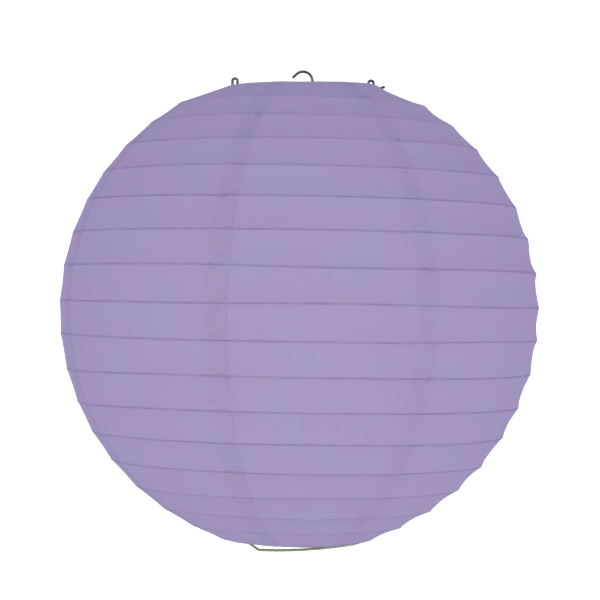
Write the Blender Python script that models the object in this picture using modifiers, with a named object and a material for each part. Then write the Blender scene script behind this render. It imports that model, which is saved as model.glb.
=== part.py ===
"""Paper lantern: a round paper shade on wire hoops, held open by a wire expander and hung on a hook.

Metres, +Z up.  The origin is where the hook bears on whatever it hangs from.  The wire expander
lies in the X-Z plane, and the lantern's front is its -Y side.
"""
import bpy
from math import asin, ceil, cos, pi, radians, sin, tau

# ---- driving dimensions -------------------------------------------------------------------
SPHERE_R = 0.1778            # a 14 inch lantern
HOOP_PITCH = 0.0254          # spacing of the hoops, measured along the paper
HOOP_COUNT = 16
FIRST_HOOP_LATITUDE = radians(59.0)
GORES = 7                    # vertical strips of paper
GORE_FACETS = 5              # flat facets across one strip
FIRST_SEAM = radians(-90.0 - 20.7)   # azimuth of a seam, from +X about +Z
PAPER_T = 0.0003
HOOP_WIRE_R = 0.0005
RING_R = 0.0550              # centre line of the two end rings
RING_WIRE_R = 0.0010
WIRE_R = 0.0010              # expander and hook wire
GAP = 0.0003                 # clearance between neighbouring pieces

# ---- heights from the hook's bearing point ------------------------------------------------
CENTRE_Z = -0.1771           # the sphere's centre
TOP_RING_Z = CENTRE_Z + 0.1645
BOTTOM_RING_Z = CENTRE_Z - 0.1688
CROSSBAR_Z = CENTRE_Z + 0.1575
SADDLE_Z = CENTRE_Z + 0.1600     # raised middle of the crossbar, which the hook's eye goes round
HOOK_ARC_R = 0.0070
HOOK_ARC_Z = -HOOK_ARC_R + WIRE_R    # puts the inside of the bend at the origin

FACETS = GORES * GORE_FACETS
FACET_STEP = tau / FACETS
FACET_COS = cos(FACET_STEP / 2)
EYE_R = 2 * WIRE_R + GAP + 0.00005   # centre line of an eye bent round a wire
NOTCH_R = 2 * WIRE_R + GAP + 0.0001  # centre line of a notch bent round a ring
EAR_R = 0.0019
SLIT_DEPTH = 0.0065          # cut in the paper's edge where an ear passes over the top ring

# ---- angle between the points of an arc, and the sharpest angle that is shaded smooth ------
TURN_STEP = radians(24.0)
EYE_STEP = radians(30.0)
BEND_STEP = radians(16.0)
BAR_STEP = radians(2.0)
SMOOTH_ANGLE = radians(50.0)

# ---- materials: slot -> colour, metallic, roughness ---------------------------------------
MATERIALS = {
    "paper": ((0.357, 0.307, 0.515), 0.0, 0.85),
    "hoop_wire": ((0.30, 0.27, 0.40), 1.0, 0.50),
    "plated_wire": ((0.45, 0.45, 0.46), 1.0, 0.30),
    "brass_wire": ((0.42, 0.37, 0.20), 1.0, 0.38),
}


def clear_scene():
    for obj in list(bpy.data.objects):
        bpy.data.objects.remove(obj, do_unlink=True)


def new_collection(name):
    collection = bpy.data.collections.new(name)
    bpy.context.scene.collection.children.link(collection)
    return collection


def make_material(slot):
    colour, metallic, roughness = MATERIALS[slot]
    material = bpy.data.materials.new(slot)
    material.use_nodes = True
    shader = material.node_tree.nodes["Principled BSDF"]
    shader.inputs["Base Color"].default_value = (*colour, 1.0)
    shader.inputs["Metallic"].default_value = metallic
    shader.inputs["Roughness"].default_value = roughness
    return material


def place(obj, collection, material):
    """Leave the object in this collection alone, with this material."""
    for old in list(obj.users_collection):
        old.objects.unlink(obj)
    collection.objects.link(obj)
    obj.data.materials.clear()
    obj.data.materials.append(material)


def smooth(obj):
    obj.data.shade_smooth()
    obj.data.set_sharp_from_angle(angle=SMOOTH_ANGLE)


# ---- outline of the shade -----------------------------------------------------------------
def hoop_latitudes():
    """Latitudes of the hoops, one pitch of paper apart, from the top down."""
    step = HOOP_PITCH / SPHERE_R
    return [FIRST_HOOP_LATITUDE - step * i for i in range(HOOP_COUNT)]


def shade_outline():
    """Radius and height of the paper: top ring, foot of the slits, each hoop, bottom ring."""
    at_ring = RING_R + RING_WIRE_R + GAP
    hoops = [(SPHERE_R * cos(a), CENTRE_Z + SPHERE_R * sin(a)) for a in hoop_latitudes()]
    share = SLIT_DEPTH / (hoops[0][0] - at_ring)
    slit_foot = (at_ring + SLIT_DEPTH, TOP_RING_Z + share * (hoops[0][1] - TOP_RING_Z))
    return [(at_ring, TOP_RING_Z), slit_foot, *hoops, (at_ring, BOTTOM_RING_Z)]


# ---- shade --------------------------------------------------------------------------------
def make_hoop(name, radius, height, wire_r, collection, material, sides=6):
    """A round wire hoop whose flat facets line up with those of the paper."""
    bpy.ops.mesh.primitive_torus_add(
        major_segments=FACETS, minor_segments=sides, major_radius=radius, minor_radius=wire_r,
        location=(0.0, 0.0, height), rotation=(0.0, 0.0, FIRST_SEAM))
    hoop = bpy.context.object
    hoop.name = name
    place(hoop, collection, material)
    smooth(hoop)
    return hoop


def make_hoops(collection, material):
    """The hoops lie inside the paper, clear of its flat bands and facets."""
    inset = (PAPER_T + GAP + HOOP_WIRE_R) / (cos(HOOP_PITCH / SPHERE_R) * FACET_COS)
    inner_r = SPHERE_R - inset
    for number, latitude in enumerate(hoop_latitudes(), start=1):
        height = CENTRE_Z + inner_r * sin(latitude)
        make_hoop(f"rib_{number:02d}", inner_r * cos(latitude), height, HOOP_WIRE_R,
                  collection, material)


def gore_azimuths(number):
    """Azimuths of the facet edges across one strip, drawn in by half a gap at each side."""
    first = FIRST_SEAM + (number - 1) * GORE_FACETS * FACET_STEP
    azimuths = [first + i * FACET_STEP for i in range(GORE_FACETS + 1)]
    azimuths[0] += GAP / 2 / RING_R
    azimuths[-1] -= GAP / 2 / RING_R
    return azimuths


def at_ear(azimuth):
    """True where the expander's wire passes over the top ring, at +X and at -X."""
    return any(abs((azimuth - side + pi) % tau - pi) < FACET_STEP / 2 for side in (0.0, pi))


def make_gore(number, collection, material):
    """One strip of paper from ring to ring, left open beside the expander's two ears."""
    azimuths = gore_azimuths(number)
    outline = shade_outline()
    points = [(r * cos(a), r * sin(a), z) for r, z in outline for a in azimuths]
    columns = len(azimuths)
    faces = []
    for row in range(len(outline) - 1):
        for column in range(columns - 1):
            middle = (azimuths[column] + azimuths[column + 1]) / 2
            if row == 0 and at_ear(middle):
                continue
            corner = row * columns + column
            faces.append((corner, corner + columns, corner + columns + 1, corner + 1))
    mesh = bpy.data.meshes.new(f"paper_gore_{number}")
    mesh.from_pydata(points, [], faces)
    gore = bpy.data.objects.new(f"paper_gore_{number}", mesh)
    place(gore, collection, material)
    thickness = gore.modifiers.new("thickness", "SOLIDIFY")
    thickness.thickness = PAPER_T
    thickness.offset = -1.0
    smooth(gore)
    return gore


# ---- bent wires ---------------------------------------------------------------------------
def arc(centre, radius, start, end, step=TURN_STEP):
    """Points (a, b) along an arc in its own plane, from start to end in radians."""
    count = max(2, ceil(abs(end - start) / step))
    angles = [start + (end - start) * i / count for i in range(count + 1)]
    return [(centre[0] + radius * cos(t), centre[1] + radius * sin(t)) for t in angles]


def in_front_plane(points):
    """(x, z) points as 3-D points in the expander's plane."""
    return [(x, 0.0, z) for x, z in points]


def mirrored(points):
    """A right-hand run of (x, z) points, from the middle outwards, joined to its mirror image."""
    return [(-x, z) for x, z in reversed(points)] + points


def make_wire(name, points, radius, collection, material):
    curve = bpy.data.curves.new(name, "CURVE")
    curve.dimensions = "3D"
    curve.bevel_depth = radius
    curve.bevel_resolution = 2
    curve.use_fill_caps = True
    spline = curve.splines.new("POLY")
    spline.points.add(len(points) - 1)
    for target, point in zip(spline.points, points):
        target.co = (*point, 1.0)
    wire = bpy.data.objects.new(name, curve)
    place(wire, collection, material)
    return wire


def make_crossbar(collection, material):
    """Upper wire: a notch over each side of the top ring, an ear beside it, a raised middle, a tail."""
    saddle_half, saddle_foot = 0.0022, 0.0056
    fillet_r = 0.0040
    inner_x = RING_R - NOTCH_R - 2 * EAR_R
    ear_z = TOP_RING_Z + 0.0058
    notch_end = radians(375.0)
    half = [(saddle_half, SADDLE_Z), (saddle_foot, CROSSBAR_Z)]
    half += arc((inner_x - fillet_r, CROSSBAR_Z + fillet_r), fillet_r, radians(-90.0), 0.0)
    half += arc((inner_x + EAR_R, ear_z), EAR_R, pi, 0.0)
    half += arc((RING_R, TOP_RING_Z), NOTCH_R, pi, notch_end)
    # the wire's right end stands out past the ring; its left end is cut off at the notch
    tail_bend = (RING_R + 0.0034, TOP_RING_Z + 0.0024)
    tail_tip = (RING_R + 0.0058, TOP_RING_Z + 0.0031)
    points = in_front_plane(mirrored(half) + [tail_bend, tail_tip])
    return make_wire("crossbar", points, WIRE_R, collection, material)


def make_leg_frame(collection, material):
    """Lower wire: an eye round the crossbar at each side, a long leg, a foot and a bottom bar."""
    eye_x, eye_start, eye_end = 0.0400, radians(-15.0), radians(262.0)
    neck = (eye_x, CROSSBAR_Z - 0.0062)
    ankle = (RING_R - 0.0037, CENTRE_Z - 0.1500)
    heel = (RING_R + 0.0016, CENTRE_Z - 0.1585)
    foot_start, foot_end = radians(62.0), radians(214.0)
    toe = (RING_R - 0.0047, CENTRE_Z - 0.1713)
    bar_start = (-0.0352, CENTRE_Z - 0.1738)
    kink_x, bar_end_x = -0.0275, 0.0430
    bar_low_x, bar_low_z, bar_bow_r = -0.0180, CENTRE_Z - 0.1792, 0.3400

    def side(sign):
        """From the eye down to the foot on the bottom ring, in 3-D; sign is +1 on the right."""
        eye = arc((0.0, CROSSBAR_Z), EYE_R, eye_start, eye_end, EYE_STEP)
        points = [(sign * eye_x, y, z) for y, z in eye]
        run = [neck, ankle, heel]
        run += arc((RING_R, BOTTOM_RING_Z), NOTCH_R, foot_start, foot_end)
        run.append(toe)
        return points + in_front_plane([(sign * x, z) for x, z in run])

    def bow_angle(x):
        """Where the bar, an arc that is lowest at bar_low_x, passes x."""
        return asin((x - bar_low_x) / bar_bow_r) - pi / 2

    # the bar drops to a kink on the left, then bows gently up to the right foot
    bar = [bar_start]
    bar += arc((bar_low_x, bar_low_z + bar_bow_r), bar_bow_r,
               bow_angle(kink_x), bow_angle(bar_end_x), BAR_STEP)
    points = side(-1.0) + in_front_plane(bar) + side(1.0)[::-1]
    return make_wire("leg_frame", points, WIRE_R, collection, material)


def make_hanging_hook(collection, material):
    """Open hook: an eye round the raised middle of the crossbar, a stem and the bend above it."""
    eye_start, eye_end = radians(-205.0), radians(62.0)
    stem_foot = (0.0030, 0.0, SADDLE_Z + EYE_R + 0.0022)
    bend_start, bend_end, tip_length = radians(-10.0), radians(133.0), 0.0038
    eye = arc((0.0, SADDLE_Z), EYE_R, eye_start, eye_end, EYE_STEP)
    points = [(0.0, y, z) for y, z in eye]
    points.append(stem_foot)
    bend = arc((0.0, HOOK_ARC_Z), HOOK_ARC_R, bend_start, bend_end, BEND_STEP)
    bend.append((bend[-1][0] - tip_length * sin(bend_end), bend[-1][1] + tip_length * cos(bend_end)))
    points += in_front_plane(bend)
    return make_wire("hanging_hook", points, WIRE_R, collection, material)


def main():
    clear_scene()
    lantern = new_collection("paper_lantern")
    materials = {slot: make_material(slot) for slot in MATERIALS}
    for number in range(1, GORES + 1):
        make_gore(number, lantern, materials["paper"])
    make_hoops(lantern, materials["hoop_wire"])
    for name, height in (("top_ring", TOP_RING_Z), ("bottom_ring", BOTTOM_RING_Z)):
        make_hoop(name, RING_R, height, RING_WIRE_R, lantern, materials["plated_wire"], sides=8)
    make_crossbar(lantern, materials["plated_wire"])
    make_leg_frame(lantern, materials["brass_wire"])
    make_hanging_hook(lantern, materials["plated_wire"])


main()
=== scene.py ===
"""Looks of a lilac paper lantern: seven glued strips of tissue paper over wire hoops, hems folded
round two end rings, and a wire expander with an open hook.

Metres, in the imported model's frame: +Z up, the origin at the hook's bearing point, the front at -Y.
"""

from math import asin, atan2, ceil, cos, exp, hypot, pi, radians, sin, sqrt, tau

import bmesh
import bpy
import numpy as np
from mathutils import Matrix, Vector


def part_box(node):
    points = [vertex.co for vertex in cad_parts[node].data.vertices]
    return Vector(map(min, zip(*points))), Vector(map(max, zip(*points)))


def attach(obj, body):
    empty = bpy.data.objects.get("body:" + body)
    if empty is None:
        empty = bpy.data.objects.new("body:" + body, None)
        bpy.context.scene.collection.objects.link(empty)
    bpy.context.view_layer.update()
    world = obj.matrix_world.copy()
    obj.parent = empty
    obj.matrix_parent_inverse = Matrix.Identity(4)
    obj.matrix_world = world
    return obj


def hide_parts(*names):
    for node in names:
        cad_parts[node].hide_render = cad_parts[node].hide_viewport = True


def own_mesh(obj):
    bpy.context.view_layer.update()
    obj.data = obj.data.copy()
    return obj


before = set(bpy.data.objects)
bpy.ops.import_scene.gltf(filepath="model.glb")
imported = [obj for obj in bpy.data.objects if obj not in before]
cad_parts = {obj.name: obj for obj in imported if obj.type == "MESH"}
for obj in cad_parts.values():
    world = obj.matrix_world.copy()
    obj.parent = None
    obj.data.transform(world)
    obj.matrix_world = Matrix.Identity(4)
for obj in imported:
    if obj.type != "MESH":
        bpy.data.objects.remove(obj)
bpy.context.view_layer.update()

# ---- the lantern's driving dimensions -----------------------------------------------------
SPHERE_R = 0.1778
HOOP_PITCH = 0.0254
HOOP_COUNT = 16
HOOP_WIRE_R = 0.0005
GORES = 7                    # strips of paper
RING_R = 0.0550
RING_WIRE_R = 0.0010
WIRE_R = 0.0010              # expander and hook
FIRST_SEAM = radians(-90.0 - 20.7)
SEAM_SHIFTS = (2.1, -1.0, 0.7, -0.9, 0.5, -0.6, 0.8)    # degrees: strips glued by hand differ a little
SEAMS = [FIRST_SEAM + n * (tau / GORES) + radians(shift) for n, shift in enumerate(SEAM_SHIFTS)]

# ---- the paper ----------------------------------------------------------------------------
PAPER_T = 0.00012
LAP_WIDTH = 0.0155           # where two strips overlap and are glued, at the widest hoop
LAP_LIFT = 0.00016           # of the upper strip there
LAP_RISE = 0.0025            # width over which it climbs onto the lower one
HEM_CLEARANCE = 0.00018      # from the ring's wire to the middle of the paper round it
FLAP_LENGTH = 0.0060         # of the hem that is glued back inside
FLAP_GAP = 0.0005            # between the flap's end and the strip
TONGUE = 0.0025              # of the hem that lies under the strip's edge
CUT_EDGE_ANGLE = radians(50.0)

# ---- how it lies on the hoops: lengths in metres, variations as shares --------------------
HOOP_WANDER = 0.0008         # of the paper's line along a hoop
PULL = 0.00080               # how far it is drawn in between two hoops
PULL_SIDE = 0.00055          # more than that at +X, less at -X
PULL_VARIATION = 0.50
END_BAND_PULL = 0.5          # share of the pull next to a ring
SKEW_VARIATION = 0.42        # of the deepest line towards one hoop
SAG_POWER = 1.75
SAG_POWER_VARIATION = 0.55
UNEVENNESS = 0.00028
PUCKER = 0.00022             # small folds that run out from a hoop
PUCKER_REACH = 0.0045
PUCKER_START = 0.0006
CRUMPLE = 0.00042            # where a seam crosses a hoop
CRUMPLE_START = 0.0008
SEAM_CRUMPLE = 0.00010       # along a seam between the hoops
SEAM_REACH = 0.011           # how far from a seam the paper crumples
HOOP_REACH = 0.0065          # and how far from a hoop
BEAD = 0.00018               # of glue and paper over a hoop's wire
BEAD_WIDTH = 0.00060
BEAD_VARIATION = 0.3
TOP_LOOSE = 0.00025          # how far the hems stand off their rings here and there
BOTTOM_LOOSE = 0.00070
LOOSE_BIAS = 0.1             # raises the share of the rim that is loose
TOP_SLACK = 0.0022           # the top hem stands proud on the +X side
BOTTOM_SLACK = 0.0014        # and the bottom hem sags at the front
BOTTOM_SLACK_AT = radians(-82.0)
BOTTOM_SLACK_HALF = 0.6      # radians
SLACK_REACH = 0.010          # how far down the strip the slack fades out
EAR_CLEAR = 0.25             # sine of the angle from an ear at which the hem may stand off fully


def middle(node):
    """The middle of a CAD node's box."""
    low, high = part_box(node)
    return (Vector(low) + Vector(high)) / 2


# ---- heights, from the frame --------------------------------------------------------------
TOP_RING_Z = middle("top_ring").z
BOTTOM_RING_Z = middle("bottom_ring").z
CENTRE_Z = TOP_RING_Z - 0.1645
HOOP_Z = [middle(f"rib_{n:02d}").z for n in range(1, HOOP_COUNT + 1)]
HOOP_SPHERE_R = SPHERE_R - 0.0011    # the hoops' centre lines lie on this sphere


# ---- smooth noise, the same on every run --------------------------------------------------
class Waves:
    """Smooth random values over azimuth, which wraps round, and height in hoop spacings."""

    def __init__(self, seed, around, per_hoop):
        self.around = around
        self.per_hoop = per_hoop
        rows = int(per_hoop * (HOOP_COUNT + 4)) + 4
        self.grid = np.random.default_rng(seed).uniform(-1.0, 1.0, (rows, around))

    def __call__(self, azimuth, level):
        x = (np.asarray(azimuth) / tau % 1.0) * self.around
        y = (np.asarray(level) + 1.0) * self.per_hoop
        x0 = np.floor(x).astype(int)
        y0 = np.clip(np.floor(y).astype(int), 0, len(self.grid) - 2)
        fx = x - x0
        fy = np.clip(y - y0, 0.0, 1.0)
        fx = fx * fx * (3.0 - 2.0 * fx)
        fy = fy * fy * (3.0 - 2.0 * fy)
        x0 = x0 % self.around
        x1 = (x0 + 1) % self.around
        low = self.grid[y0, x0] * (1 - fx) + self.grid[y0, x1] * fx
        high = self.grid[y0 + 1, x0] * (1 - fx) + self.grid[y0 + 1, x1] * fx
        return low * (1 - fy) + high * fy


# ---- the paper's surface ------------------------------------------------------------------
def paper_levels():
    """(r, z) where the paper leaves the top ring, crosses each hoop, and reaches the bottom ring."""
    hoops = []
    for z in HOOP_Z:
        latitude = asin((z - CENTRE_Z) / HOOP_SPHERE_R)
        hoops.append((SPHERE_R * cos(latitude), CENTRE_Z + SPHERE_R * sin(latitude)))
    wrap = RING_WIRE_R + HEM_CLEARANCE
    ends = []
    for ring_z, hoop in ((TOP_RING_Z, hoops[0]), (BOTTOM_RING_Z, hoops[-1])):
        down = 1.0 if ring_z > CENTRE_Z else -1.0
        slope = atan2((ring_z - hoop[1]) * down, hoop[0] - RING_R)
        normal = pi / 2 - slope
        ends.append((RING_R + wrap * cos(normal), ring_z + down * wrap * sin(normal)))
    return [ends[0], *hoops, ends[1]]


LEVELS = paper_levels()
LAST_LEVEL = len(LEVELS) - 1

depth_waves = Waves(11, 22, 1.0)
skew_waves = Waves(12, 16, 1.0)
broad_waves = Waves(13, 34, 1.4)
pucker_waves = Waves(14, 260, 1.0)
crease_waves = Waves(15, 190, 5.0)
bead_waves = Waves(16, 90, 1.0)
rim_waves = Waves(17, 18, 1.0)
wander_waves = Waves(18, 9, 1.0)


def seam_distance(azimuth):
    """Angle to the nearest seam."""
    away = np.asarray(azimuth)[..., None] - np.array(SEAMS)
    return np.abs((away + pi) % tau - pi).min(axis=-1)


def crossing(index, azimuth):
    """(r, z) where the paper is stuck to hoop number index; the line wanders a little along the strip."""
    r = np.array([r for r, _ in LEVELS])[index]
    z = np.array([z for _, z in LEVELS])[index]
    stuck = (index > 0) & (index < LAST_LEVEL)
    wander = np.where(stuck, HOOP_WANDER * wander_waves(azimuth, index), 0.0)
    latitude = np.arcsin((z - CENTRE_Z) / SPHERE_R)
    return r - wander * np.sin(latitude), z + wander * np.cos(latitude)


def paper_surface(azimuth, level, lift):
    """Points of the paper.  level is 0 at the top ring, n at hoop n and 17 at the bottom ring."""
    band = np.clip(np.floor(level).astype(int), 0, LAST_LEVEL - 1)
    share = level - band
    top_r, top_z = crossing(band, azimuth)
    low_r, low_z = crossing(band + 1, azimuth)
    dr = low_r - top_r
    dz = low_z - top_z
    length = np.hypot(dr, dz)
    out_r, out_z = -dz / length, dr / length
    r = top_r + dr * share
    z = top_z + dz * share

    # the paper is drawn in between the hoops, more on the +X side than on the -X side
    depth = (PULL + PULL_SIDE * np.cos(azimuth)) * (1.0 + PULL_VARIATION * depth_waves(azimuth, level))
    end_band = (band == 0) | (band == LAST_LEVEL - 1)
    depth = np.where(end_band, END_BAND_PULL * depth, depth)
    skew = np.exp(SKEW_VARIATION * skew_waves(azimuth, band + 0.5))
    power = SAG_POWER + SAG_POWER_VARIATION * skew_waves(azimuth + 1.3, band + 0.5)
    sag = 1.0 - np.abs(2.0 * share ** skew - 1.0) ** power
    bend = -depth * sag

    # broad unevenness, puckers at the hoops, crumples where a seam crosses a hoop
    to_hoop = np.minimum(share, 1.0 - share) * length
    free = np.sin(pi * share)
    bend = bend + UNEVENNESS * free * broad_waves(azimuth, level)
    near_hoop = np.exp(-to_hoop / PUCKER_REACH) * (1.0 - np.exp(-to_hoop / PUCKER_START))
    bend = bend + PUCKER * near_hoop * pucker_waves(azimuth, np.round(level))
    near_seam = np.exp(-(seam_distance(azimuth) * r / SEAM_REACH) ** 2)
    crumple = np.exp(-to_hoop / HOOP_REACH) * (1.0 - np.exp(-to_hoop / CRUMPLE_START))
    bend = bend + CRUMPLE * near_seam * crumple * crease_waves(azimuth, level)
    bend = bend + SEAM_CRUMPLE * near_seam * free * crease_waves(azimuth + 0.7, level)

    # a small bead where the paper is stuck round the hoop's wire
    bead = BEAD * np.exp(-(to_hoop / BEAD_WIDTH) ** 2)
    bead = bead * (1.0 + BEAD_VARIATION * bead_waves(azimuth, level))
    inner_level = (np.round(level) > 0) & (np.round(level) < LAST_LEVEL)
    bend = bend + np.where(inner_level, bead, 0.0)

    # the hem stands a little proud of either ring in places
    from_top = np.exp(-share * length / SLACK_REACH) * (band == 0)
    from_bottom = np.exp((share - 1.0) * length / SLACK_REACH) * (band == LAST_LEVEL - 1)
    bend = bend + rim_lift(azimuth, top=True) * from_top
    bend = bend + rim_lift(azimuth, top=False) * from_bottom
    bend = bend + lift
    r = r + out_r * bend
    z = z + out_z * bend
    return np.stack([r * np.cos(azimuth), r * np.sin(azimuth), z], axis=-1)


def rim_lift(azimuth, top):
    """How far the hem stands off its ring; nothing where the expander bears."""
    azimuth = np.asarray(azimuth)
    clear = np.clip(np.abs(np.sin(azimuth)) / EAR_CLEAR, 0.0, 1.0)
    most, level = (TOP_LOOSE, 0.5) if top else (BOTTOM_LOOSE, LAST_LEVEL - 0.5)
    loose = most * np.clip(rim_waves(azimuth, level) + LOOSE_BIAS, 0.0, 1.0)
    if top:
        loose = loose + TOP_SLACK * np.clip(np.cos(azimuth), 0.0, 1.0)
    else:
        from_front = (azimuth - BOTTOM_SLACK_AT + pi) % tau - pi
        loose = loose + BOTTOM_SLACK * np.exp(-(from_front / BOTTOM_SLACK_HALF) ** 2)
    return clear * loose


# ---- meshes -------------------------------------------------------------------------------
def add_mesh(name, points, faces, material):
    mesh = bpy.data.meshes.new(name)
    mesh.from_pydata([tuple(p) for p in points], [], faces)
    mesh.validate()
    mesh.update()
    piece = bpy.data.objects.new(name, mesh)
    bpy.context.scene.collection.objects.link(piece)
    mesh.materials.append(material)
    mesh.shade_smooth()
    return piece


def grid_faces(rows, columns, keep=None, closed=False):
    """Quads of a grid of points; keep(row, column) may leave some out, and closed joins its ends."""
    faces = []
    for row in range(rows - 1):
        for column in range(columns if closed else columns - 1):
            if keep is not None and not keep(row, column):
                continue
            after = (column + 1) % columns
            here, below = row * columns, (row + 1) * columns
            faces.append((here + column, below + column, below + after, here + after))
    return faces


def tube_faces(rows, columns, closed=False):
    """Quads of rows of points that each close on themselves; closed joins the last row to the first."""
    faces = []
    for row in range(rows if closed else rows - 1):
        here, below = row * columns, (row + 1) % rows * columns
        for column in range(columns):
            after = (column + 1) % columns
            faces.append((here + column, here + after, below + after, below + column))
    return faces


def give_floats(piece, name, values):
    """A number at each vertex, which the material reads."""
    attribute = piece.data.attributes.new(name, "FLOAT", "POINT")
    attribute.data.foreach_set("value", np.asarray(values, dtype=np.float32).ravel())


def drop_loose_points(piece):
    """Deletes the points that a cut-out has left without a face."""
    edit = bmesh.new()
    edit.from_mesh(piece.data)
    loose = [v for v in edit.verts if not v.link_faces]
    bmesh.ops.delete(edit, geom=loose, context="VERTS")
    edit.to_mesh(piece.data)
    edit.free()


def solidify(piece, thickness):
    """Gives the sheet its thickness, inwards, with crisp cut edges."""
    shell = piece.modifiers.new("paper_thickness", "SOLIDIFY")
    shell.thickness = thickness
    shell.offset = -1.0
    shell.use_even_offset = False
    solid = bpy.data.meshes.new_from_object(piece.evaluated_get(bpy.context.evaluated_depsgraph_get()))
    piece.modifiers.remove(shell)
    piece.data = solid
    solid.set_sharp_from_angle(angle=CUT_EDGE_ANGLE)


# ---- the strips of paper ------------------------------------------------------------------
BAND_STEPS = (0.0, 0.018, 0.04, 0.09, 0.18, 0.32, 0.5, 0.68, 0.82, 0.91, 0.96, 0.982)
FIRST_BAND_STEPS = (0.0, 0.03, 0.06, 0.10, 0.14, 0.18, 0.24, 0.36, 0.5, 0.68, 0.82, 0.91, 0.96, 0.982)
CORE_COLUMNS = 44
LAP_COLUMNS = 5
SLIT_HALF = 0.0023           # half the width of the cut round each ear
SLIT_LEVEL = 0.17            # how far it runs from the top ring, as a share of the first band


def row_levels():
    rows = list(FIRST_BAND_STEPS)
    for band in range(1, LAST_LEVEL):
        rows += [band + step for step in BAND_STEPS]
    return np.array(rows + [float(LAST_LEVEL)])


def lap_width(radius):
    """The glued overlap narrows a little towards the rings."""
    return LAP_WIDTH * (0.55 + 0.45 * radius / SPHERE_R)


def crumpling(azimuth, level, radius):
    """1 where a seam crosses a hoop, fading out around it."""
    to_hoop = np.abs(level - np.round(level)) * HOOP_PITCH
    return np.exp(-(seam_distance(azimuth) * radius / SEAM_REACH) ** 2 - to_hoop / HOOP_REACH)


def near_ear(azimuth, radius):
    """True within the cut round either ear of the expander."""
    return abs(sin(azimuth)) * radius < SLIT_HALF


def make_gore(number, material):
    """One strip, from a half overlap before its first seam to a half overlap past its second."""
    levels = row_levels()
    radii = np.interp(levels, range(len(LEVELS)), [r for r, _ in LEVELS])
    first = SEAMS[number - 1]
    span = (SEAMS[number % GORES] - first) % tau
    half_lap = lap_width(radii) / 2 / radii
    across_lap = np.linspace(-1.0, 1.0, LAP_COLUMNS + 1)
    across_core = np.linspace(0.0, 1.0, CORE_COLUMNS + 1)[1:-1]
    columns = [first + share * half_lap for share in across_lap]
    columns += [first + half_lap + share * (span - 2 * half_lap) for share in across_core]
    columns += [first + span + share * half_lap for share in across_lap]
    azimuth = np.stack(columns, axis=1)
    level = np.repeat(levels[:, None], azimuth.shape[1], axis=1)
    # how far past the start of the overlap at the strip's second seam, in metres
    lap = (azimuth - (first + span - half_lap)[:, None]) * radii[:, None]
    lift = LAP_LIFT * np.clip(lap / LAP_RISE + 1.0, 0.0, 1.0)
    points = paper_surface(azimuth, level, lift)

    def keep(row, column):
        at = (azimuth[row, column] + azimuth[row, column + 1]) / 2
        return not (levels[row] < SLIT_LEVEL and near_ear(at, radii[row]))

    rows, count = azimuth.shape
    name = f"paper_strip_{number}"
    piece = add_mesh(name, points.reshape(-1, 3), grid_faces(rows, count, keep), material)
    give_floats(piece, "level", level)
    give_floats(piece, "lap", lap)
    give_floats(piece, "crumple", crumpling(azimuth, level, radii[:, None]))
    drop_loose_points(piece)
    solidify(piece, PAPER_T)
    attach(piece, "shade_top")
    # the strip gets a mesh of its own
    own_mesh(piece)
    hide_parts(f"paper_gore_{number}")
    return piece


# ---- hems ---------------------------------------------------------------------------------
HEM_COLUMNS = 320
HEM_TURNS = 14
FLAP_STEPS = 5
HEM_PAST = 0.3               # the level that the material reads there, past the last one


def hem_profile(ring_z):
    """(r, z, outward r, outward z) from under the strip's edge round the ring to the end of the flap."""
    top = ring_z > CENTRE_Z
    up = 1.0 if top else -1.0
    edge, hoop = (LEVELS[0], LEVELS[1]) if top else (LEVELS[-1], LEVELS[-2])
    slope = atan2((edge[1] - hoop[1]) * up, hoop[0] - edge[0])
    start = pi / 2 - slope
    wrap = RING_WIRE_R + HEM_CLEARANCE
    out_r, out_z = cos(start), up * sin(start)
    under = wrap - 1.5 * PAPER_T    # inside the strip, and clear of it by half a thickness
    profile = [(RING_R + under * out_r + TONGUE * cos(slope),
                ring_z + under * out_z - up * TONGUE * sin(slope), out_r, out_z)]
    for turn in range(HEM_TURNS + 1):
        angle = start + pi * turn / HEM_TURNS
        out_r, out_z = cos(angle), up * sin(angle)
        profile.append((RING_R + wrap * out_r, ring_z + wrap * out_z, out_r, out_z))
    # the flap runs back outwards inside the strip and closes on it
    r, z, out_r, out_z = profile[-1]
    for step in range(1, FLAP_STEPS + 1):
        along = FLAP_LENGTH * step / FLAP_STEPS
        close = (2 * wrap - FLAP_GAP) * sin(pi / 2 * step / FLAP_STEPS) ** 2
        profile.append((r + along * cos(slope) - close * out_r,
                        z - up * along * sin(slope) - close * out_z, out_r, out_z))
    return profile


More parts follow.
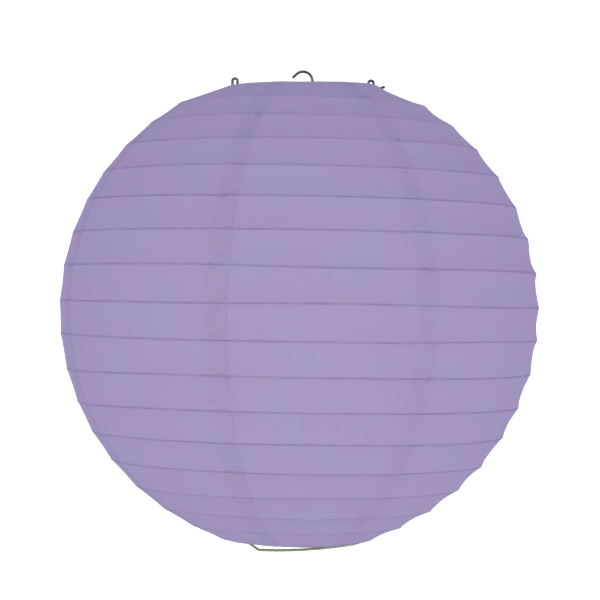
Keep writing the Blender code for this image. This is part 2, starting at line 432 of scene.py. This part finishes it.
def make_hem(name, ring, body, material):
    """The strips' ends folded round a ring and glued back inside, cut where the expander bears."""
    ring_z = middle(ring).z
    top = ring_z > CENTRE_Z
    profile = hem_profile(ring_z)
    azimuths = np.arange(HEM_COLUMNS) * tau / HEM_COLUMNS
    points = []
    for row, (r, z, out_r, out_z) in enumerate(profile):
        # as loose as the strip above it, and tight on the ring from a quarter turn on
        if row == 0:
            share = exp(-TONGUE / SLACK_REACH)
        else:
            share = max(0.0, 1.0 - 2.0 * (row - 1) / HEM_TURNS)
        loose = rim_lift(azimuths, top) * share
        rr = r + out_r * loose
        zz = z + out_z * loose
        points.append(np.stack([rr * np.cos(azimuths), rr * np.sin(azimuths),
                                zz * np.ones_like(azimuths)], axis=-1))
    first_cut_row = 0 if top else HEM_TURNS - 2

    def keep(row, column):
        at = azimuths[column] + pi / HEM_COLUMNS
        return row < first_cut_row or not near_ear(at, RING_R)

    faces = grid_faces(len(profile), HEM_COLUMNS, keep, closed=True)
    if top:
        faces = [face[::-1] for face in faces]
    piece = add_mesh(name, np.concatenate(points), faces, material)
    # past the ring, away from any hoop's line; the first two rows match the strips' ends
    past_ring = -HEM_PAST if top else LAST_LEVEL + HEM_PAST
    levels = np.full((len(profile), HEM_COLUMNS), past_ring)
    levels[:2] = 0.0 if top else float(LAST_LEVEL)
    give_floats(piece, "level", levels)
    give_floats(piece, "lap", np.full(levels.size, -1.0))
    give_floats(piece, "crumple", np.zeros(levels.size))
    drop_loose_points(piece)
    solidify(piece, PAPER_T)
    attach(piece, body)
    return piece


# ---- hoops and rings ----------------------------------------------------------------------
WELD_SWELL = 0.22            # of the wire's radius
WELD_HALF = 0.0022           # half the weld's length
WELD_START = radians(37.0)
WELD_TURN = 60.0             # radians from weld to weld, for each metre of height


def make_torus(name, node, body, ring_r, wire_r, material, around=224, sides=12):
    """A smooth closed hoop of wire in place of its faceted CAD solid, with a lapped weld."""
    height = middle(node).z
    weld_at = WELD_START + height * WELD_TURN
    azimuths = np.arange(around) * tau / around
    turns = np.arange(sides) * tau / sides
    off = (azimuths - weld_at + pi) % tau - pi
    swell = 1.0 + WELD_SWELL * np.exp(-(off * ring_r / WELD_HALF) ** 4)
    points = []
    for turn in turns:
        r = ring_r - (swell - 1.0) * wire_r + swell * wire_r * cos(turn)
        z = height + swell * wire_r * sin(turn)
        points.append(np.stack([r * np.cos(azimuths), r * np.sin(azimuths), z], axis=-1))
    faces = tube_faces(sides, around, closed=True)
    piece = add_mesh(name, np.concatenate(points), faces, material)
    give_floats(piece, "along", np.tile(azimuths * ring_r, sides))
    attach(piece, body)
    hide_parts(node)
    return piece


def make_hoops(material):
    for number, height in enumerate(HOOP_Z, start=1):
        radius = sqrt(HOOP_SPHERE_R ** 2 - (height - CENTRE_Z) ** 2)
        node = f"rib_{number:02d}"
        hoop = make_torus(f"wire_hoop_{number:02d}", node, f"hoop_{number:02d}", radius,
                          HOOP_WIRE_R, material, sides=10)


def make_rings(material):
    for name, node, body in (("upper_end_ring", "top_ring", "shade_top"),
                             ("lower_end_ring", "bottom_ring", "shade_bottom")):
        ring = make_torus(name, node, body, RING_R, RING_WIRE_R, material, around=160)


# ---- bent wires: the same routes as the CAD solids' ---------------------------------------
CROSSBAR_Z = CENTRE_Z + 0.1575
SADDLE_Z = CENTRE_Z + 0.1600     # raised middle of the crossbar
EYE_R = 2 * WIRE_R + 0.00035     # centre line of an eye bent round a wire
NOTCH_R = 2 * WIRE_R + 0.0004    # centre line of a notch bent round a ring
EAR_R = 0.0019
HOOK_ARC_R = 0.0070
HOOK_ARC_Z = -HOOK_ARC_R + WIRE_R
TURN_STEP = radians(9.0)
BAR_STEP = radians(1.0)
SHARP_BEND = radians(10.5)       # a corner sharper than this is rounded
CORNER_R = 0.0035
CORNER_SHARE = 0.42              # of the shorter run at a corner, the most that rounding takes
CORNER_POINTS = 7
STRAIGHT_STEP = 0.006            # between points on a straight run
# sections of a domed end: place along the dome, share of the wire's radius
DOME = ((-1.0, 0.45), (-0.92, 0.72), (-0.7, 0.92), (-0.4, 1.0))
DOME_LENGTH = 0.35 * WIRE_R


def arc(centre, radius, start, end, step=TURN_STEP):
    """Points (a, b) along an arc in its own plane."""
    count = max(2, ceil(abs(end - start) / step))
    angles = [start + (end - start) * i / count for i in range(count + 1)]
    return [(centre[0] + radius * cos(t), centre[1] + radius * sin(t)) for t in angles]


def in_front_plane(points):
    return [(x, 0.0, z) for x, z in points]


def mirrored(points):
    return [(-x, z) for x, z in reversed(points)] + points


def rounded(points, radius):
    """The same route with each corner sharper than an arc's own steps rounded to about radius."""
    points = [Vector(p) for p in points]
    out = [points[0]]
    for before, corner, after in zip(points, points[1:], points[2:]):
        back, on = before - corner, after - corner
        bend = pi - back.angle(on)
        if bend < SHARP_BEND:
            out.append(corner)
            continue
        shorter = min(CORNER_SHARE * back.length, CORNER_SHARE * on.length)
        reach = min(radius * (bend / 2), shorter)
        start = corner + back.normalized() * reach
        end = corner + on.normalized() * reach
        for i in range(CORNER_POINTS):
            t = i / (CORNER_POINTS - 1)
            out.append(start * (1 - t) ** 2 + corner * 2 * t * (1 - t) + end * t ** 2)
    out.append(points[-1])
    return out


def spaced(points, step):
    """The same route with long straight runs divided into steps."""
    out = [points[0]]
    for start, end in zip(points, points[1:]):
        parts = max(1, ceil((end - start).length / step))
        out += [start.lerp(end, i / parts) for i in range(1, parts + 1)]
    return out


def make_wire(name, node, body, route, material, sides=14):
    """A round wire along the route, with its two cut ends slightly domed."""
    route = spaced(rounded(route, CORNER_R), STRAIGHT_STEP)
    along = [0.0]
    for start, end in zip(route, route[1:]):
        along.append(along[-1] + (end - start).length)
    total = along[-1]
    rings, stations = [], []
    tangent = (route[1] - route[0]).normalized()
    normal = tangent.orthogonal().normalized()
    stops = [(d, s, 0) for d, s in DOME] + [(0.0, 1.0, i) for i in range(1, len(route) - 1)]
    stops += [(-d, s, len(route) - 1) for d, s in reversed(DOME)]
    for offset, scale, i in stops:
        before, after = route[max(i - 1, 0)], route[min(i + 1, len(route) - 1)]
        fresh = (after - before).normalized()
        normal = (normal - fresh * normal.dot(fresh)).normalized()
        side = fresh.cross(normal)
        centre = route[i] + fresh * offset * DOME_LENGTH
        rings.append([centre + (normal * cos(tau * k / sides) + side * sin(tau * k / sides))
                      * WIRE_R * scale for k in range(sides)])
        stations.append(along[i] + offset * DOME_LENGTH)
    points = [p for ring in rings for p in ring]
    faces = tube_faces(len(rings), sides)
    faces.append(tuple(range(sides))[::-1])
    faces.append(tuple((len(rings) - 1) * sides + k for k in range(sides)))
    piece = add_mesh(name, points, faces, material)
    give_floats(piece, "along", np.repeat(np.clip(stations, 0.0, total), sides))
    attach(piece, body)
    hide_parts(node)
    return piece


def crossbar_route():
    """A notch over each side of the top ring, an ear beside it, a raised middle and a tail."""
    saddle_half, saddle_foot = 0.0022, 0.0056
    fillet_r = 0.0040
    inner_x = RING_R - NOTCH_R - 2 * EAR_R
    ear_z = TOP_RING_Z + 0.0058
    notch_end = radians(375.0)
    half = [(saddle_half, SADDLE_Z), (saddle_foot, CROSSBAR_Z)]
    half += arc((inner_x - fillet_r, CROSSBAR_Z + fillet_r), fillet_r, radians(-90.0), 0.0)
    half += arc((inner_x + EAR_R, ear_z), EAR_R, pi, 0.0)
    half += arc((RING_R, TOP_RING_Z), NOTCH_R, pi, notch_end)
    tail_bend = (RING_R + 0.0034, TOP_RING_Z + 0.0024)
    tail_tip = (RING_R + 0.0058, TOP_RING_Z + 0.0031)
    return in_front_plane(mirrored(half) + [tail_bend, tail_tip])


def leg_frame_route():
    """An eye round the crossbar at each side, a long leg, a foot on the bottom ring and a bar."""
    eye_x, eye_start, eye_end = 0.0400, radians(-15.0), radians(262.0)
    neck = (eye_x, CROSSBAR_Z - 0.0062)
    ankle = (RING_R - 0.0037, CENTRE_Z - 0.1500)
    heel = (RING_R + 0.0016, CENTRE_Z - 0.1585)
    foot_start, foot_end = radians(62.0), radians(214.0)
    toe = (RING_R - 0.0047, CENTRE_Z - 0.1713)
    bar_start = (-0.0352, CENTRE_Z - 0.1738)
    kink_x, bar_end_x = -0.0275, 0.0430
    bar_low_x, bar_low_z, bar_bow_r = -0.0180, CENTRE_Z - 0.1792, 0.3400

    def side(sign):
        """From the eye down to the foot; sign is +1 on the right."""
        eye = arc((0.0, CROSSBAR_Z), EYE_R, eye_start, eye_end)
        points = [(sign * eye_x, y, z) for y, z in eye]
        run = [neck, ankle, heel]
        run += arc((RING_R, BOTTOM_RING_Z), NOTCH_R, foot_start, foot_end)
        run.append(toe)
        return points + in_front_plane([(sign * x, z) for x, z in run])

    def bow_angle(x):
        """Where the bar, an arc that is lowest at bar_low_x, passes x."""
        return asin((x - bar_low_x) / bar_bow_r) - pi / 2

    # the bar drops to a kink on the left, then bows gently up to the right foot
    bar = [bar_start]
    bar += arc((bar_low_x, bar_low_z + bar_bow_r), bar_bow_r,
               bow_angle(kink_x), bow_angle(bar_end_x), BAR_STEP)
    return side(-1.0) + in_front_plane(bar) + side(1.0)[::-1]


def hook_route():
    """An eye round the crossbar's raised middle, a stem and the bend above it."""
    eye_start, eye_end = radians(-205.0), radians(62.0)
    stem_foot = (0.0030, 0.0, SADDLE_Z + EYE_R + 0.0022)
    bend_start, bend_end, tip_length = radians(-10.0), radians(133.0), 0.0038
    eye = arc((0.0, SADDLE_Z), EYE_R, eye_start, eye_end)
    points = [(0.0, y, z) for y, z in eye]
    points.append(stem_foot)
    bend = arc((0.0, HOOK_ARC_Z), HOOK_ARC_R, bend_start, bend_end)
    bend.append((bend[-1][0] - tip_length * sin(bend_end), bend[-1][1] + tip_length * cos(bend_end)))
    return points + in_front_plane(bend)


# ---- materials ----------------------------------------------------------------------------
class Nodes:
    """Short names for building one material's nodes."""

    def __init__(self, name):
        self.material = bpy.data.materials.new(name)
        self.material.use_nodes = True
        self.tree = self.material.node_tree
        self.shader = self.tree.nodes["Principled BSDF"]
        self.output = self.tree.nodes["Material Output"]

    def add(self, kind, **settings):
        node = self.tree.nodes.new(kind)
        for key, value in settings.items():
            setattr(node, key, value)
        return node

    def link(self, source, target):
        self.tree.links.new(source, target)

    def set(self, socket, value):
        """A socket takes either another node's output or a plain value."""
        if isinstance(value, bpy.types.NodeSocket):
            self.link(value, socket)
        else:
            socket.default_value = value

    def maths(self, operation, a, b=0.0, clamp=False):
        node = self.add("ShaderNodeMath", operation=operation, use_clamp=clamp)
        self.set(node.inputs[0], a)
        self.set(node.inputs[1], b)
        return node.outputs[0]

    def fade(self, value, start, end, low=0.0, high=1.0):
        """low at start, high at end, smooth in between."""
        node = self.add("ShaderNodeMapRange", interpolation_type="SMOOTHSTEP")
        self.set(node.inputs["Value"], value)
        node.inputs["From Min"].default_value = start
        node.inputs["From Max"].default_value = end
        node.inputs["To Min"].default_value = low
        node.inputs["To Max"].default_value = high
        return node.outputs["Result"]

    def attribute(self, name):
        return self.add("ShaderNodeAttribute", attribute_name=name).outputs["Fac"]

    def place(self, scale):
        """Object coordinates, scaled along each axis."""
        where = self.add("ShaderNodeTexCoord").outputs["Object"]
        node = self.add("ShaderNodeMapping")
        self.link(where, node.inputs["Vector"])
        node.inputs["Scale"].default_value = scale
        return node.outputs["Vector"]

    def noise(self, where, scale, detail=3.0, roughness=0.55, distortion=0.0):
        node = self.add("ShaderNodeTexNoise")
        self.link(where, node.inputs["Vector"])
        node.inputs["Scale"].default_value = scale
        node.inputs["Detail"].default_value = detail
        node.inputs["Roughness"].default_value = roughness
        node.inputs["Distortion"].default_value = distortion
        return node.outputs["Fac"]

    def mix(self, share, a, b, blend="MIX"):
        node = self.add("ShaderNodeMix", data_type="RGBA", blend_type=blend)
        self.set(node.inputs[0], share)
        self.set(node.inputs[6], a)
        self.set(node.inputs[7], b)
        return node.outputs[2]

    def bump(self, height, distance, strength=1.0):
        node = self.add("ShaderNodeBump")
        self.link(height, node.inputs["Height"])
        node.inputs["Distance"].default_value = distance
        node.inputs["Strength"].default_value = strength
        return node.outputs["Normal"]


PAPER_COLOUR = (0.456, 0.369, 0.612, 1.0)
PAPER_COOL = (0.437, 0.379, 0.618, 1.0)
# painted shade: the colour of the dark line over each hoop, where its wire shades the paper from behind,
# and of the pleats
PAINTED_SHADE_COLOUR = (0.318, 0.243, 0.520, 1.0)
TRANSMITTED = (1.0, 0.97, 1.0, 1.0)    # what light through one layer leans towards
TRANSMITTED_SHARE = 0.35
THROUGH_SHARE = 0.38                   # of the light that the paper scatters, what comes through
HOOP_SHADE_EDGE = (0.00085, 0.00055)         # from a hoop, where its painted shade starts and where it is full
# painted shade: how much darker two overlapping layers are drawn, as less light comes through them
LAP_SHADE = 0.976
# painted shade: how dark the doubled paper in a pleat is drawn
PLEAT_SHADE = 0.8
FIBRE_BUMP = 0.00012
PAPER_ROUGHNESS = 0.88
PAPER_SPECULAR = 0.12
# texture scales, in features to the metre
PAPER_CLOUDS = 38.0
FIBRES = 900.0
PAPER_GRAIN = 2600.0
LINE_WANDER = 55.0
PLEATS = 420.0
DRAWN_LINES = 260.0
WIRE_CLOUDS = 240.0
SPECKS = 2400.0


def paper_material():
    """Matt dyed tissue: faint fibres and clouds, with painted shade over each hoop, where two layers meet
    and in pleats where a seam crosses a hoop.
    """
    n = Nodes("lilac_paper")
    where = n.place((1.0, 1.0, 1.0))
    clouds = n.noise(where, PAPER_CLOUDS, detail=2.0)
    fibres = n.noise(n.place((1.0, 1.0, 0.35)), FIBRES, detail=4.0, roughness=0.7, distortion=1.2)
    grain = n.noise(where, PAPER_GRAIN, detail=2.0)
    colour = n.mix(n.fade(clouds, 0.38, 0.62), PAPER_COLOUR, PAPER_COOL)
    fibre_light = n.fade(fibres, 0.30, 0.75, 0.965, 1.03)
    tone = n.maths("MULTIPLY", fibre_light, n.fade(grain, 0.3, 0.7, 0.985, 1.012))
    # painted shade where the strips overlap: two layers of paper let less light through
    lap = n.fade(n.attribute("lap"), -0.0002, 0.0002, 1.0, LAP_SHADE)
    tone = n.maths("MULTIPLY", tone, lap)
    level = n.attribute("level")
    # painted shade: a dark line over each hoop, where its wire shades the paper from behind
    to_hoop = n.maths("MULTIPLY", n.maths("PINGPONG", level, 0.5), HOOP_PITCH)
    painted_shade = n.fade(to_hoop, *HOOP_SHADE_EDGE)
    wander = n.fade(n.noise(where, LINE_WANDER, detail=1.0), 0.25, 0.75, 0.50, 0.88)
    # painted shade in small pleats, where the paper is doubled, where a seam crosses a hoop
    streaks = n.noise(n.place((0.35, 0.35, 1.0)), PLEATS, detail=1.0, distortion=0.6)
    pleat_shade_mask = n.maths("MULTIPLY", n.fade(streaks, 0.57, 0.67), n.attribute("crumple"))
    # the painted shade over the hoops is fainter towards either ring, where the paper turns away
    faint = n.maths("MULTIPLY", n.fade(level, 0.5, 6.0, 0.60, 1.0), n.fade(level, 12.0, 16.5, 1.0, 0.70))
    painted_shade = n.maths("MULTIPLY", n.maths("MULTIPLY", painted_shade, wander), faint)
    painted_shade = n.maths("MAXIMUM", painted_shade, n.maths("MULTIPLY", pleat_shade_mask, PLEAT_SHADE))
    colour = n.mix(painted_shade, colour, PAINTED_SHADE_COLOUR)
    grey = n.add("ShaderNodeCombineColor")
    for channel in ("Red", "Green", "Blue"):
        n.link(tone, grey.inputs[channel])
    colour = n.mix(1.0, colour, grey.outputs["Color"], blend="MULTIPLY")
    n.link(colour, n.shader.inputs["Base Color"])
    n.shader.inputs["Roughness"].default_value = PAPER_ROUGHNESS
    n.shader.inputs["Specular IOR Level"].default_value = PAPER_SPECULAR
    rough = n.maths("ADD", n.maths("MULTIPLY", fibres, 0.6), n.maths("MULTIPLY", grain, 0.4))
    normal = n.bump(rough, FIBRE_BUMP, 0.5)
    n.link(normal, n.shader.inputs["Normal"])
    through = n.add("ShaderNodeBsdfTranslucent")
    n.link(n.mix(TRANSMITTED_SHARE, colour, TRANSMITTED), through.inputs["Color"])
    n.link(normal, through.inputs["Normal"])
    both = n.add("ShaderNodeMixShader")
    both.inputs[0].default_value = THROUGH_SHARE
    n.link(n.shader.outputs[0], both.inputs[1])
    n.link(through.outputs[0], both.inputs[2])
    n.link(both.outputs[0], n.output.inputs["Surface"])
    return n.material


EDGE_TINT = (0.30, 0.30, 0.30, 1.0)    # tarnish dulls the wire at a glancing angle

# slot: clean colour, clouded colour, metallic, roughness, tarnish; on the plated wire both colours are
# painted: the clean one a highlight, the clouded one a dark reflection
WIRES = {
    "hoop_wire": ((0.42, 0.38, 0.52, 1.0), (0.30, 0.27, 0.38, 1.0), 0.9, 0.42, None),
    "plated_wire": ((0.125, 0.125, 0.150, 1.0), (0.013, 0.013, 0.016, 1.0), 1.0, 0.26,
                    (0.01, 0.01, 0.01, 1.0)),
    "brass_wire": ((0.32, 0.35, 0.19, 1.0), (0.20, 0.27, 0.15, 1.0), 0.7, 0.46,
                   (0.10, 0.11, 0.06, 1.0)),
}


def wire_material(name):
    """Drawn wire: fine lines along it, cloudy patches of two colours and a little tarnish; on the plated
    wire the two colours are a painted highlight and a painted dark reflection.
    """
    light, dark, metallic, roughness, stain = WIRES[name]
    n = Nodes(name)
    where = n.place((1.0, 1.0, 1.0))
    along = n.attribute("along")
    bands = n.add("ShaderNodeCombineXYZ")
    n.link(n.maths("MULTIPLY", along, DRAWN_LINES), bands.inputs[0])
    drawn = n.noise(bands.outputs[0], 1.0, detail=3.0)
    clouds = n.noise(where, WIRE_CLOUDS, detail=4.0, roughness=0.6)
    specks = n.noise(where, SPECKS, detail=2.0)
    # on the plated wire this share lays painted dark reflections among painted highlights along the wire
    share = n.maths("MULTIPLY", n.fade(clouds, 0.35, 0.7), n.fade(drawn, 0.25, 0.75, 0.5, 1.0))
    colour = n.mix(share, light, dark)
    if stain is not None:
        colour = n.mix(n.fade(specks, 0.60, 0.72, 0.0, 0.6), colour, stain)
    n.link(colour, n.shader.inputs["Base Color"])
    n.shader.inputs["Metallic"].default_value = metallic
    n.shader.inputs["Specular Tint"].default_value = EDGE_TINT
    n.link(n.fade(clouds, 0.3, 0.7, roughness - 0.06, roughness + 0.12),
           n.shader.inputs["Roughness"])
    n.link(n.bump(specks, 0.00003, 0.4), n.shader.inputs["Normal"])
    return n.material


def floor_material():
    """Off-white paper, lit from below as a light table is."""
    n = Nodes("pale_floor")
    soft = n.noise(n.place((1.0, 1.0, 1.0)), 3.0, detail=2.0)
    n.link(n.mix(soft, (0.88, 0.88, 0.88, 1.0), (0.92, 0.92, 0.92, 1.0)),
           n.shader.inputs["Base Color"])
    n.shader.inputs["Roughness"].default_value = 0.9
    n.shader.inputs["Emission Color"].default_value = (1.0, 1.0, 1.0, 1.0)
    n.shader.inputs["Emission Strength"].default_value = FLOOR_GLOW
    return n.material


# ---- camera, light and stage --------------------------------------------------------------
CAMERA_DISTANCE = 1.812
CAMERA_RIGHT = 0.0004
CAMERA_ABOVE_CENTRE = 0.0078
CAMERA_LENS = 145.8          # mm, on a 36 mm sensor
CAMERA_ROLL = radians(0.93)

WORLD_COLOUR = (0.940, 0.942, 1.0, 1.0)
WORLD_AROUND = 1.43
WORLD_OVERHEAD = 0.81
WORLD_FADE = (-0.1, 0.9)     # between which heights of the view's direction it dims
FLOOR_Z = -2.2
FLOOR_HALF = 7.0
FLOOR_GLOW = 0.17
KEY_POWER = 11.0
KEY_COLOUR = (1.0, 0.98, 0.55)
KEY_SIZE = 1.8
KEY_PLACES = (("key", (-0.7, -2.9, 0.05)), ("fill", (0.9, -2.9, -0.60)))


def make_camera():
    data = bpy.data.cameras.new("camera")
    data.lens = CAMERA_LENS
    data.sensor_width = 36.0
    camera = bpy.data.objects.new("camera", data)
    bpy.context.scene.collection.objects.link(camera)
    camera.location = (CAMERA_RIGHT, -CAMERA_DISTANCE, CENTRE_Z + CAMERA_ABOVE_CENTRE)
    camera.rotation_euler = (pi / 2, -CAMERA_ROLL, 0.0)
    bpy.context.scene.camera = camera


def make_stage():
    """A pale floor well below the hanging lantern."""
    ends = (-FLOOR_HALF, FLOOR_HALF)
    corners = [(x, y, FLOOR_Z) for y in ends for x in ends]
    floor = add_mesh("pale_floor", corners, [(0, 1, 3, 2)], floor_material())


def add_area_light(name, where, target):
    data = bpy.data.lights.new(name, "AREA")
    data.shape = "SQUARE"
    data.size = KEY_SIZE
    data.energy = KEY_POWER
    data.color = KEY_COLOUR
    light = bpy.data.objects.new(name, data)
    bpy.context.scene.collection.objects.link(light)
    light.location = where
    light.rotation_euler = (Vector(target) - Vector(where)).to_track_quat("-Z", "Y").to_euler()


def make_light():
    world = bpy.data.worlds.new("studio")
    bpy.context.scene.world = world
    world.use_nodes = True
    background = world.node_tree.nodes["Background"]
    background.inputs["Color"].default_value = WORLD_COLOUR
    # the room is dimmer overhead than around
    nodes, links = world.node_tree.nodes, world.node_tree.links
    direction = nodes.new("ShaderNodeTexCoord").outputs["Generated"]
    height = nodes.new("ShaderNodeSeparateXYZ")
    links.new(direction, height.inputs[0])
    dim = nodes.new("ShaderNodeMapRange")
    links.new(height.outputs["Z"], dim.inputs["Value"])
    dim.inputs["From Min"].default_value, dim.inputs["From Max"].default_value = WORLD_FADE
    dim.inputs["To Min"].default_value = WORLD_AROUND
    dim.inputs["To Max"].default_value = WORLD_OVERHEAD
    links.new(dim.outputs["Result"], background.inputs["Strength"])
    centre = (0.0, 0.0, CENTRE_Z)
    for name, where in KEY_PLACES:
        add_area_light(name, where, centre)
    scene = bpy.context.scene
    scene.view_settings.view_transform = "Standard"
    scene.view_settings.look = "None"


def main():
    make_camera()
    make_stage()
    make_light()
    paper = paper_material()
    hoop_wire, plated, brass = (wire_material(name) for name in WIRES)
    for number in range(1, GORES + 1):
        make_gore(number, paper)
    make_hem("top_hem", "top_ring", "shade_top", paper)
    make_hem("bottom_hem", "bottom_ring", "shade_bottom", paper)
    make_hoops(hoop_wire)
    make_rings(plated)
    make_wire("expander_crossbar", "crossbar", "expander", crossbar_route(), plated)
    make_wire("expander_legs", "leg_frame", "expander", leg_frame_route(), brass)
    make_wire("open_hook", "hanging_hook", "hook", hook_route(), plated)


main()
